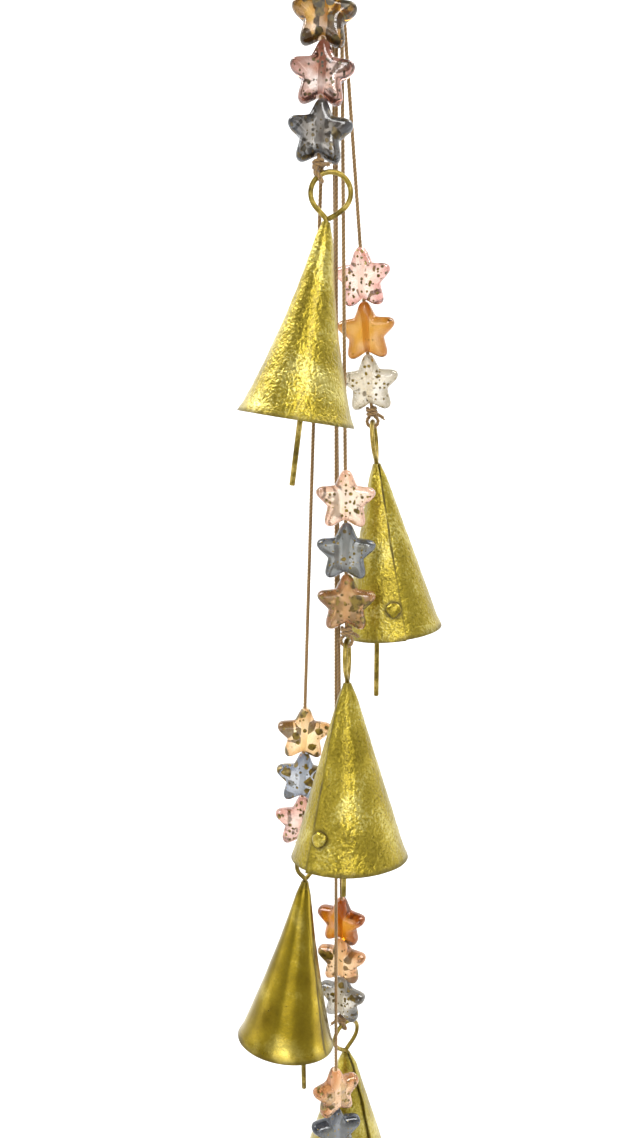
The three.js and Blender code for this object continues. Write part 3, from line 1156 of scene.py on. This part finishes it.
@dataclass
class StarBead:
    """The puffy five-armed bead, bored from its top tip to the valley below."""

    round_radius: float = 1.9
    tip_spread: float = 62.0
    valley_shares: Pair = (-0.86, -1.14)
    valley_ease: float = 1.012
    outline_steps: int = 4
    half_thick: float = 3.3
    pillow: float = 2.7
    fullness: float = 2.2
    # How far in from the outline the rim's tint and painted shade reach.
    rim_depth: Pair = (0.2, 3.2)
    rings: tuple[float, ...] = (
        0.16, 0.32, 0.46, 0.58, 0.69, 0.78, 0.86, 0.92, 0.96, 0.985, 0.997,
    )

    def outline(self) -> list[Vector]:
        """The bead's rounded outline in its own plane.

        Returns:
            The points of the outline.
        """
        share = pi / 5
        core = GAUGE.star_tip - self.round_radius
        corners = []
        for arm in range(5):
            a = pi / 2 - arm * 2 * share
            for k in (self.tip_spread, 0, -self.tip_spread):
                b = a + radians(k)
                corners.append(Vector((
                    core * cos(a) + self.round_radius * cos(b),
                    0,
                    core * sin(a) + self.round_radius * sin(b),
                )))
            for k in self.valley_shares:
                corners.append(upright(GAUGE.star_valley * self.valley_ease, a + k * share))
        fine = curve_through(corners[-2:] + corners + corners[:2], self.outline_steps)
        first = 2 * self.outline_steps
        return fine[first : first + self.outline_steps * len(corners)]

    @staticmethod
    def inset(point: Vector, outline: Sequence[Vector]) -> float:
        """How far inside the outline a point lies.

        Args:
            point: the point in the bead's plane.
            outline: the outline.

        Returns:
            The distance.
        """
        best = inf
        for i, b in enumerate(outline):
            a = outline[i - 1]
            way = b - a
            t = min(1.0, max(0.0, (point - a).dot(way) / way.length_squared))
            best = min(best, (point - a - way * t).length)
        return best

    def swell(self, inset: float) -> float:
        """Half of the bead's thickness at a distance from its outline."""
        t = 1 - min(1.0, inset / self.pillow)
        return self.half_thick * (1 - t ** self.fullness) ** (1 / self.fullness)

    def form(self) -> Form:
        """The bead before its bore is cut.

        Returns:
            The bead.
        """
        outline = self.outline()
        count = len(outline)
        form = Form()
        rows: list[tuple[float, list[float]]] = []
        for ring in self.rings:
            heights = [self.swell(self.inset(p * ring, outline)) for p in outline]
            for _ in range(2):
                heights = [
                    0.5 * heights[i] + 0.25 * (heights[i - 1] + heights[(i + 1) % count])
                    for i in range(count)
                ]
            rows.append((ring, heights))
        crown = self.swell(self.inset(Vector(), outline))
        for side in (-1, 1):
            form.points.append(Vector((0, side * crown, 0)))
            for ring, heights in rows:
                for p, h in zip(outline, heights):
                    form.points.append(p * ring + Vector((0, side * h, 0)))
        rim = len(form.points)
        form.points.extend(p.copy() for p in outline)
        last = 1 + (len(rows) - 1) * count
        for side in (0, 1):
            base = side * rim // 2
            for k in range(count):
                n = (k + 1) % count
                around = [(base, base + 1 + k, base + 1 + n)]
                for j in range(len(rows) - 1):
                    row = base + 1 + j * count
                    around.append((row + k, row + count + k, row + count + n, row + n))
                around.append((base + last + k, rim + k, rim + n, base + last + n))
                form.faces.extend(around if side else [f[::-1] for f in around])
        return form

    def bored(self) -> Form:
        """The bead with its bore.

        Returns:
            The bead, with its share of rim tint and painted shade and the wall of its bore as
            values.
        """
        reach = UP * (GAUGE.star_tip + 2)
        bore = GAUGE.cord + GAUGE.bore_fit
        tube = sweep(line_between(-reach, reach, 1.2), Section(bore, 20))
        solid = bpy.data.objects.new("bead", self.form().mesh("bead"))
        drill = bpy.data.objects.new("drill", tube.mesh("drill"))
        for made in (solid, drill):
            bpy.context.scene.collection.objects.link(made)
        cut = solid.modifiers.new("bore", "BOOLEAN")
        cut.operation = "DIFFERENCE"
        cut.solver = "EXACT"
        cut.object = drill
        view = bpy.context.evaluated_depsgraph_get()
        mesh = bpy.data.meshes.new_from_object(solid.evaluated_get(view))
        form = Form([v.co / MM for v in mesh.vertices], [tuple(p.vertices) for p in mesh.polygons])
        for made in (solid, drill):
            bpy.data.objects.remove(made)
        outline = self.outline()
        form.values = {"rim": [], "bore": []}
        for p in form.points:
            inset = self.inset(Vector((p.x, 0, p.z)), outline)
            # Rim tint and painted shade, fading inwards from the outline.
            form.values["rim"].append(1 - smooth(*self.rim_depth, inset))
            form.values["bore"].append(1.0 if hypot(p.x, p.y) < bore + 0.02 else 0.0)
        return form

    def thread(self, hang: Hang, bead: Form) -> None:
        """Threads three beads on a strand.

        Args:
            hang: the strand.
            bead: the bead's form.
        """
        lowest = hang.knot_top + GAUGE.seat * 2 + GAUGE.star_valley
        pitch = GAUGE.star_tip + GAUGE.star_valley + GAUGE.nest
        for place in Place:
            centre = hang.low + hang.rise * (lowest + pitch * (2 - place.value))
            facing = heading(hang.rise, hang.star_turns[place.value], centre).matrix
            rocked = facing @ Matrix.Rotation(radians(hang.rock), 4, "Y")
            which = f"{hang.number}_{place.word}"
            node = f"star_{which}"
            finish = hang.acrylics[place.value].make(f"acrylic_{which}")
            show(bead.moved(rocked), f"acrylic_star_{which}", node, node, node, finish, STAR_CREASE)


@dataclass
class ConeBell:
    """A bell rolled from one sheet, with its rivet, its wire eye and its clapper.

    Sizes are in millimetres, and starts, ends and shares are shares of the height from
    the apex or of the way round the sheet.
    """

    hang: Hang
    sheet: Material
    wire: Material
    slit: float = 1.0
    lap_width: float = 6.0
    flare_length: float = 4.0
    slit_share: float = 0.1
    rise_start: float = 0.78
    rise_end: float = 0.91
    rivet_down: float = 0.83
    rivet_head: float = 2.5
    rivet_height: float = 1.1
    rivet_tail: float = 1.7
    rivet_tail_height: float = 0.6
    rivet_shank: float = 1.0
    rivet_dome: tuple[Pair, ...] = (
        (0.93, 0.3), (0.76, 0.62), (0.5, 0.88), (0.24, 0.98), (0.0, 1.0),
    )
    rivet_sides: int = 40
    rivet_wobble: float = 0.2
    # How far past the rivet's head its painted shadow reaches.
    rivet_soil: float = 1.3
    columns: int = 168
    rows: int = 84
    mouth_round: float = 0.12
    mouth_step: float = 0.25
    dent: float = 0.14
    broad: float = 0.16
    small: float = 0.55
    fine: float = 1.15
    fold: float = 0.32
    scar_fold: float = 0.9
    # Shares of painted shade: inside the bell, along the lapped edge, at the apex and along the
    # mouth.
    inner_soil: float = 0.3
    edge_soil: float = 0.6
    apex_soil: float = 0.5
    mouth_soil: float = 0.85
    waver: float = 0.9
    curl_width: float = 1.8
    waver_width: float = 4.0
    pinch: float = 0.3
    pinch_share: float = 0.09
    free_end: tuple[Triple, Triple] = ((0.42, 0.0, 0.98), (2.25, 0.0, 2.33))
    eye_from: float = -46.0
    eye_step: float = 21.1
    eye_points: int = 14
    eyelet_turns: tuple[int, ...] = (152, 190, 230, 270, 310, 350, 28, 62)
    rod_turns: tuple[int, ...] = (-52, -15, 25, 65, 105, 145, 185, 218)

    def build(self) -> None:
        """Builds the bell's pieces and puts them on their bodies."""
        n = self.hang.number
        body = f"bell_{n}"
        skin = (self.sheet, SHEET_CREASE)
        show(self.cone(), f"rolled_bell_{n}", body, f"bell_cone_{n}", "bell_sheet", *skin)
        show(self.rivet(), f"hammered_rivet_{n}", body, f"seam_rivet_{n}", "rivet", *skin)
        show(self.eye(), f"wire_eye_{n}", body, f"bell_eye_{n}", "wire", self.wire)
        rod = f"clapper_{n}"
        show(self.clapper(), f"rod_clapper_{n}", rod, rod, "wire", self.wire)

    def inner(self, t: float) -> float:
        """The cone's inner radius at a share of its height."""
        start = 1 - self.flare_length / self.hang.height
        return self.hang.inner(t) + GAUGE.flare * max(0.0, (t - start) / (1 - start)) ** 1.5

    def girth(self, t: float) -> float:
        """The radius on which lengths round the sheet are measured."""
        return self.inner(t) + GAUGE.wall

    def lap(self, t: float) -> float:
        """How far the edges lap at a share of the height, less than 0 where they gape."""
        return self.lap_width * t - self.slit * (1 - t)

    def span(self, t: float) -> float:
        """The angle that the sheet goes round at a share of the height."""
        return TURN + self.lap(t) / self.girth(t)

    def at(self, radius: float, a: float, t: float) -> Vector:
        """The point at a radius, an angle and a share of the height, in the seam's frame."""
        return polar(radius, a, -self.hang.height * t)

    def outward(self, a: float, t: float) -> Vector:
        """The way out of the sheet at an angle and a share of the height."""
        lean = self.hang.lean(t)
        return polar(cos(lean), a, sin(lean))

    def spot(self, side: float, t: float, s: float) -> tuple[Vector, Vector]:
        """A point of the sheet and the way out of it.

        Args:
            side: 0 inside and 1 outside.
            t: share of the height, from the apex.
            s: share of the way round.

        Returns:
            Both, in the seam's frame.
        """
        rise = smooth(self.rise_start, self.rise_end, s)
        rise *= 0.35 + 0.65 * min(1.0, t / self.slit_share)
        drawn = 1 - smooth(0.0, self.pinch_share, t)
        wall = GAUGE.wall * (1 - self.pinch * drawn)
        r = self.inner(t) - self.pinch * drawn + side * wall + rise * (wall + GAUGE.lap_fit)
        span, girth = self.span(t), self.girth(t)
        edge = (1 - s) * span * girth
        curl = self.hang.curl * (1 - smooth(0.0, self.curl_width, edge))
        r += curl * smooth(0.04, 0.2, t)
        waver = noise.noise(Vector((7.0 * t, 3.3 * self.hang.number, 0.0))) * smooth(0.05, 0.3, t)
        shift = self.waver * waver * (1 - smooth(0.0, self.waver_width, edge)) / girth
        a = self.hang.lap.value * ((s - 1) * span + shift)
        return self.at(r, a, t), self.outward(a, t)

    def relief(self, point: Vector, t: float) -> float:
        """How far the sheet is dented at a point.

        Args:
            point: the point in the seam's frame.
            t: share of the height.

        Returns:
            The dent, out of the sheet.
        """
        seed = Vector((31.7 * self.hang.number, 0, 0))
        broad = noise.noise(point * self.broad + seed)
        small = noise.noise(point * self.small + seed)
        fine = noise.noise(point * self.fine + seed * 2)
        strong = self.hang.surface.value
        depth = self.dent * (0.55 * broad + strong * (0.8 * small + 0.6 * fine))
        fold = 1 - 2 * abs(noise.noise(point * self.fold + seed * 3))
        depth += self.scar_fold * self.scar(point) * max(0.0, fold - 0.3)
        return depth * smooth(0.02, 0.2, t)

    def scar(self, point: Vector) -> float:
        """How near a point is to a patch that was left rough by the brazing.

        Args:
            point: the point in the seam's frame.

        Returns:
            A share from 0 to 1.
        """
        near = 0.0
        for degrees, down, size in self.hang.scars:
            centre = self.at(self.girth(down), radians(degrees - self.hang.seam), down)
            near = max(near, 1 - smooth(0.25 * size, size, (point - centre).length))
        return near

    def soil(self, side: float, t: float, s: float) -> float:
        """How dark the sheet is painted with shade: inside it, as a shadow under the lip of the
        lapped edge, along that edge and at both its ends.

        Args:
            side: 0 inside and 1 outside.
            t: share of the height, from the apex.
            s: share of the way round.

        Returns:
            A share from 0 to 1.
        """
        # Painted shade all over the inside.
        if not side:
            return self.inner_soil
        span, girth = self.span(t), self.girth(t)
        past = (s * span + TURN - span) * girth
        # Painted shadow beyond the lapped edge, under its raised lip, as wide as the lip is curled.
        reach = 0.2 + 3.6 * self.hang.curl
        patchy = noise.noise(Vector((11.0 * t, 5.7 * self.hang.number, 1.0)))
        under = 1 - smooth(0.6 * reach, reach, past)
        under *= 0.55 + 0.45 * smooth(-0.25, 0.3, patchy)
        # Painted shade along the lapped edge itself.
        tip = 1 - smooth(0.0, 0.35, (1 - s) * span * girth)
        # Painted shade along the mouth, whose sheet edge faces down, with a ragged top.
        ragged = noise.noise(Vector((36.0 * s, 3.1 * self.hang.number, 2.0)))
        mouth = smooth(0.974 - 0.026 * ragged, 0.994, t)
        # Painted shade at the apex.
        apex = 1 - smooth(0.0, 0.06, t)
        return max(under, self.edge_soil * tip, self.apex_soil * apex, self.mouth_soil * mouth)

    def cone(self) -> Form:
        """The rolled sheet, closed all round, with a rounded mouth.

        Returns:
            The sheet.
        """
        form = Form(values={"wear": [], "soil": [], "scar": []})
        stations = [(1.0, t) for t in shares(self.rows)]
        stations += [(0.0, 1 - t) for t in shares(self.rows)]
        loop = len(stations)
        inside = 1 - self.mouth_step / self.hang.height
        pin = self.rivet_axes()
        for s in shares(self.columns):
            for side, t in stations:
                keep = t if side else min(inside, t)
                point, out = self.spot(side, keep, s)
                if t == 1.0:
                    point = point - out * (self.mouth_round if side else -self.mouth_round)
                form.points.append(point + out * self.relief(point, t))
                form.values["wear"].append(smooth(0.95, 0.995, t))
                # A ring of painted shadow on the outside of the sheet round the rivet's head.
                way = point - pin.origin
                off = hypot(way.dot(pin.x), way.dot(pin.y))
                ring = 1 - smooth(self.rivet_head, self.rivet_head + self.rivet_soil, off)
                ring *= side * (way.length < 2 * self.rivet_head)
                form.values["soil"].append(max(self.soil(side, keep, s), ring))
                form.values["scar"].append(self.scar(point) * side)
        form.rings(0, self.columns + 1, loop)
        last = self.columns * loop
        for j in range(self.rows):
            near = (j, loop - 1 - j, loop - 2 - j, j + 1)
            form.faces += [near, tuple(last + i for i in reversed(near))]
        if self.hang.lap is Lap.LEFT:
            form.faces = [f[::-1] for f in form.faces]
        return form.moved(self.hang.seam_axes.matrix)

    def rivet_axes(self) -> Axes:
        """The rivet's place, in the seam's frame.

        Returns:
            A frame on the sheet's inner face, with z out of the sheet.
        """
        t = self.rivet_down
        a = -self.hang.lap.value * self.lap(t) / 2 / self.girth(t)
        out = self.outward(a, t)
        side = Vector((-sin(a), cos(a), 0))
        return Axes(side, out.cross(side), out, self.at(self.inner(t), a, t))

    def rivet(self) -> Form:
        """The hammered rivet, its head outside and its tail inside.

        Returns:
            The rivet.
        """
        skin = 2 * GAUGE.wall + GAUGE.lap_fit + GAUGE.seat
        tail = -GAUGE.seat - self.rivet_tail_height
        profile = [
            (0.0, tail),
            (self.rivet_tail * 0.7, tail),
            (self.rivet_tail, tail + 0.2),
            (self.rivet_tail, -GAUGE.seat),
            (self.rivet_shank, -GAUGE.seat + 0.05),
            (self.rivet_shank, skin - 0.45),
            (self.rivet_head * 0.96, skin - 0.4),
            (self.rivet_head, skin - 0.1),
        ]
        for wide, high in self.rivet_dome:
            profile.append((self.rivet_head * wide, skin + self.rivet_height * high))
        form = turned(profile, self.rivet_sides, self.rivet_wobble, 5.3 * self.hang.number)
        return form.moved(self.hang.seam_axes.matrix @ self.rivet_axes().matrix)

    def eye(self) -> Form:
        """The wire eye from its free end, its neck through the apex and its small eyelet.

        Returns:
            The wire.
        """
        points = [Vector(p) for p in self.free_end]
        for i in range(self.eye_points):
            a = radians(self.eye_from + i * self.eye_step)
            points.append(upright(GAUGE.eye, a, GAUGE.eye_rise))
        neck = GAUGE.eye_rise - GAUGE.eye
        depth = self.hang.eyelet_depth
        shank = depth - GAUGE.eyelet
        points += [
            Vector((-1.75, 0, neck * 0.9)),
            Vector((-0.4, 0, neck * 0.42)),
            Vector((0, 0, -neck * 0.1)),
            Vector((0, 0, -shank * 0.5)),
            Vector((0, -GAUGE.eyelet * 0.5, -shank * 0.93)),
        ]
        for degrees in self.eyelet_turns:
            x, _, z = upright(GAUGE.eyelet, radians(degrees), -depth)
            points.append(Vector((0, x, z)))
        form = sweep(curve_through(points, 6), Section(GAUGE.wire, 14, end_bevel=0.2))
        return form.moved(self.hang.bell.matrix)

    def clapper(self) -> Form:
        """The rod with its own eyelet, linked through the small eyelet.

        Returns:
            The rod.
        """
        bell = self.hang.bell
        pivot = bell.origin + self.hang.down * self.hang.eyelet_depth
        rod = (UP - bell.x * UP.dot(bell.x)).normalized()
        bend = GAUGE.wire + GAUGE.rod + GAUGE.seat
        link = -UP * GAUGE.eyelet
        points = [upright(bend, radians(a), -GAUGE.eyelet) for a in self.rod_turns]
        points += [
            Vector((-0.55, 0, -GAUGE.eyelet - bend * 1.35)),
            Vector((0, 0, -GAUGE.eyelet - bend * 2.1)),
            Vector((0, 0, -self.hang.reach / 2)),
            Vector((0, 0, -self.hang.reach)),
        ]
        turn = Quaternion((0, 1, 0), radians(self.hang.sway))
        swayed = [turn @ (p - link) + link for p in points]
        form = sweep(curve_through(swayed, 8), Section(GAUGE.rod, 14, end_bevel=0.18))
        return form.moved(Axes(bell.x, rod.cross(bell.x), rod, pivot).matrix)


@dataclass(frozen=True)
class Lamp:
    """One soft light, which shows only by what it lights: metres and watts."""

    name: str
    place: Triple
    size: Pair
    power: float
    aim: Triple = (0.0, 0.0, -0.28)

    def build(self) -> None:
        """Puts the light in the scene."""
        data = bpy.data.lights.new(self.name, "AREA")
        data.shape = "RECTANGLE"
        data.size, data.size_y = self.size
        data.energy = self.power
        made = bpy.data.objects.new(self.name, data)
        made.visible_camera = False
        made.location = self.place
        way = Vector(self.aim) - Vector(self.place)
        made.rotation_euler = way.to_track_quat("-Z", "Y").to_euler()
        bpy.context.scene.collection.objects.link(made)


WALL = (0.0, 2.2, -0.5)
LAMPS = (
    Lamp("window_front", (0.28, -1.08, 0.88), (0.34, 0.8), 13.0),
    Lamp("fill_front", (-0.08, -1.1, 0.15), (0.8, 0.45), 3.8),
    Lamp("low_left", (-1.02, -0.41, -0.55), (1.1, 0.6), 4.0),
    Lamp("low_right", (1.12, 0.0, -0.5), (0.5, 0.6), 2.0),
    Lamp("side_left", (-1.15, 0.15, -0.1), (0.2, 1.1), 0.5),
    Lamp("back_left", (-1.0, 0.6, 1.2), (1.0, 1.0), 50.0, WALL),
    Lamp("back_right", (1.0, 0.6, 1.2), (1.0, 1.0), 50.0, WALL),
)


@dataclass
class Studio:
    """The camera, the soft lights and the pale cove round the chime, in metres."""

    lamps: Sequence[Lamp] = LAMPS
    eye: Triple = (-0.0047, -0.336, -0.147)
    pitch: float = 77.5
    lens: float = 31.98
    sensor: float = 36.0
    clip: float = 0.01
    floor: float = -0.95
    flat_radius: float = 1.5
    bend: float = 0.7
    bend_steps: int = 12
    wall_top: float = 1.6
    sides: int = 72
    glow: Colour = (1.0, 0.99, 0.975, 1.0)
    glow_strength: float = 0.1

    def build(self) -> None:
        """Builds everything round the chime."""
        scene = bpy.context.scene
        scene.view_settings.view_transform = "Standard"
        self.camera(scene)
        self.cove()
        self.world(scene)
        for lamp in self.lamps:
            lamp.build()

    def camera(self, scene: bpy.types.Scene) -> None:
        """The camera where the photograph was taken.

        Args:
            scene: the scene.
        """
        data = bpy.data.cameras.new("photo_camera")
        data.lens = self.lens
        data.sensor_width = self.sensor
        data.clip_start = self.clip
        made = bpy.data.objects.new("photo_camera", data)
        made.location = self.eye
        made.rotation_euler = (radians(self.pitch), 0.0, 0.0)
        scene.collection.objects.link(made)
        scene.camera = made

    def cove(self) -> None:
        """The pale floor that curves up into a wall all round."""
        profile = [(0.0, self.floor), (0.6, self.floor), (self.flat_radius, self.floor)]
        for i in range(1, self.bend_steps + 1):
            a = radians(90 * i / self.bend_steps)
            r = self.flat_radius + self.bend * sin(a)
            profile.append((r, self.floor + self.bend * (1 - cos(a))))
        profile.append((self.flat_radius + self.bend, self.wall_top))
        form = turned([(r / MM, z / MM) for r, z in profile], self.sides, closed=False)
        form.faces = [f[::-1] for f in form.faces]
        made = put(form, "studio_cove", PaleCove("pale_paper").make(), COVE_CREASE)

    def world(self, scene: bpy.types.Scene) -> None:
        """The even light from all round.

        Args:
            scene: the scene.
        """
        world = bpy.data.worlds.new("soft_world")
        world.use_nodes = True
        back = world.node_tree.nodes["Background"]
        back.inputs["Color"].default_value = self.glow
        back.inputs["Strength"].default_value = self.glow_strength
        scene.world = world


DARK_LEAF = ("2a2008", "554414")
STRANDS = (
    Hang(
        1, exit=(-2.6, -2.2), hitch=(-5.2, -16.8, -98.0), turn=0, loop_place=-38, right=-9.1,
        front=3.7, mouth=36.8, height=59.2, waist=1.7, seam=75, reach=67.2, sway=-1.7,
        star_turns=(0, 0, 0), rock=2, curl=0.2,
        acrylics=(
            Acrylic("b07a18", "74500f", 1.1, 0.6, clear=0.5, milk=0.15, leaf=DARK_LEAF),
            Acrylic("94634c", "8a5a4c", 0.4, 0.75, clear=0.6, milk=0.1, leaf=DARK_LEAF),
            Acrylic("6e675e", "3c3f44", 0.85, 0.85, clear=0.5, leaf=DARK_LEAF),
        ),
    ),
    Hang(
        2, exit=(0.7, 2.0), hitch=(13.3, 13.0, -172.6), turn=82, right=6, front=1.5, mouth=35.5,
        height=59, seam=-79, reach=75, star_turns=(-26, -12, -12), curl=0.15,
        acrylics=(
            Acrylic("efd3c2", "c98c82", 0.4, 0.85, clear=0.6),
            Acrylic("ce983f", "9a5c16", 0.15, 0.5, clear=0.2),
            Acrylic("e3d8c0", "978c74", 0.5, 0.75, clear=0.8, milk=0.3),
        ),
    ),
    Hang(
        3, exit=(1.6, -0.9), hitch=(4.2, -10.8, -243.7), turn=82, right=0.8, front=8, mouth=40,
        height=59.5, seam=-133, lap=Lap.LEFT, reach=66, star_turns=(0, -4, 3), rock=2, curl=0.7,
        acrylics=(
            Acrylic("f3dec4", "cb9a80", 0.55, 0.75, clear=0.5, milk=0.3),
            Acrylic("92938f", "4a4f57", 0.5, 0.65, clear=0.2, milk=0.3),
            Acrylic("cba26c", "99683e", 0.95, 0.9, clear=0.1, milk=0.4),
        ),
        scars=((-112, 0.94, 8.0), (-93, 0.8, 7.0)),
    ),
    Hang(
        4, exit=(-2.2, 0.4), hitch=(-11.9, 8.0, -330.9), turn=48, loop_place=-40, right=-7,
        front=8.5, mouth=36.8, height=61.5, waist=1.0, seam=110, reach=78, sway=-12,
        star_turns=(4, -3, 4), rock=2, surface=Surface.SMOOTH, curl=0.2,
        acrylics=(
            Acrylic("f9dfae", "c89354", 1.0, 0.6, clear=0.4),
            Acrylic("b4bac4", "6f7889", 1.2, 0.7, clear=0.3, milk=0.3),
            Acrylic("f3d3c2", "d09c8e", 0.45, 0.9, clear=0.4, milk=0.3),
        ),
    ),
    Hang(
        5, exit=(-1.0, 2.2), hitch=(4.2, 17.5, -411.2), turn=220, loop_place=22, right=0,
        front=-5, mouth=36.5, height=58, seam=-35, lap=Lap.LEFT, reach=72,
        star_turns=(-27, -22, -30), curl=0.02,
        acrylics=(
            Acrylic("bd7512", "8a4808", 0.25, 0.35, clear=0.3, milk=0.1),
            Acrylic("f5d5a9", "c48c58", 0.85, 0.65, clear=0.3, milk=0.25),
            Acrylic("d2cab8", "6b6863", 0.6, 0.85, clear=0.5),
        ),
    ),
    Hang(
        6, exit=(0.2, 0.5), hitch=(1.6, 2.5, -476.3), turn=-15, right=1.5, front=0, mouth=36,
        height=58, seam=-110, reach=71, star_turns=(32, 16, 4), curl=0.2, held=0.865,
        acrylics=(
            Acrylic("f0cfa8", "c98f5e", 0.6, 0.85, clear=0.3, milk=0.3),
            Acrylic("93979c", "474b52", 0.4, 0.6, clear=0.2, milk=0.4),
            Acrylic("dfb0a2", "a9695f", 0.5, 0.8, clear=0.3, milk=0.3),
        ),
    ),
)


def main() -> None:
    """Builds the studio, then the chime from its cords outwards."""
    logging.basicConfig(level=logging.INFO, format="%(name)s: %(message)s")
    Studio().build()
    cord = WaxedCord("waxed_cord").make()
    wire = DullWire("dull_wire").make()
    hammered = BrassSheet("brass_sheet_hammered", Surface.HAMMERED)
    plain = BrassSheet(
        "brass_sheet_smooth", Surface.SMOOTH, olive="685604", gold="8a7618", pale="bcaa54"
    )
    sheets = {sheet.surface: sheet.make() for sheet in (hammered, plain)}
    for hang in STRANDS:
        StrandCord(hang, cord).build()
    HangingRing(STRANDS, wire, cord).build()
    star = StarBead()
    bead = star.bored()
    for hang in STRANDS:
        star.thread(hang, bead)
        ConeBell(hang, sheets[hang.surface], wire).build()


if __name__ == "__main__":
    main()
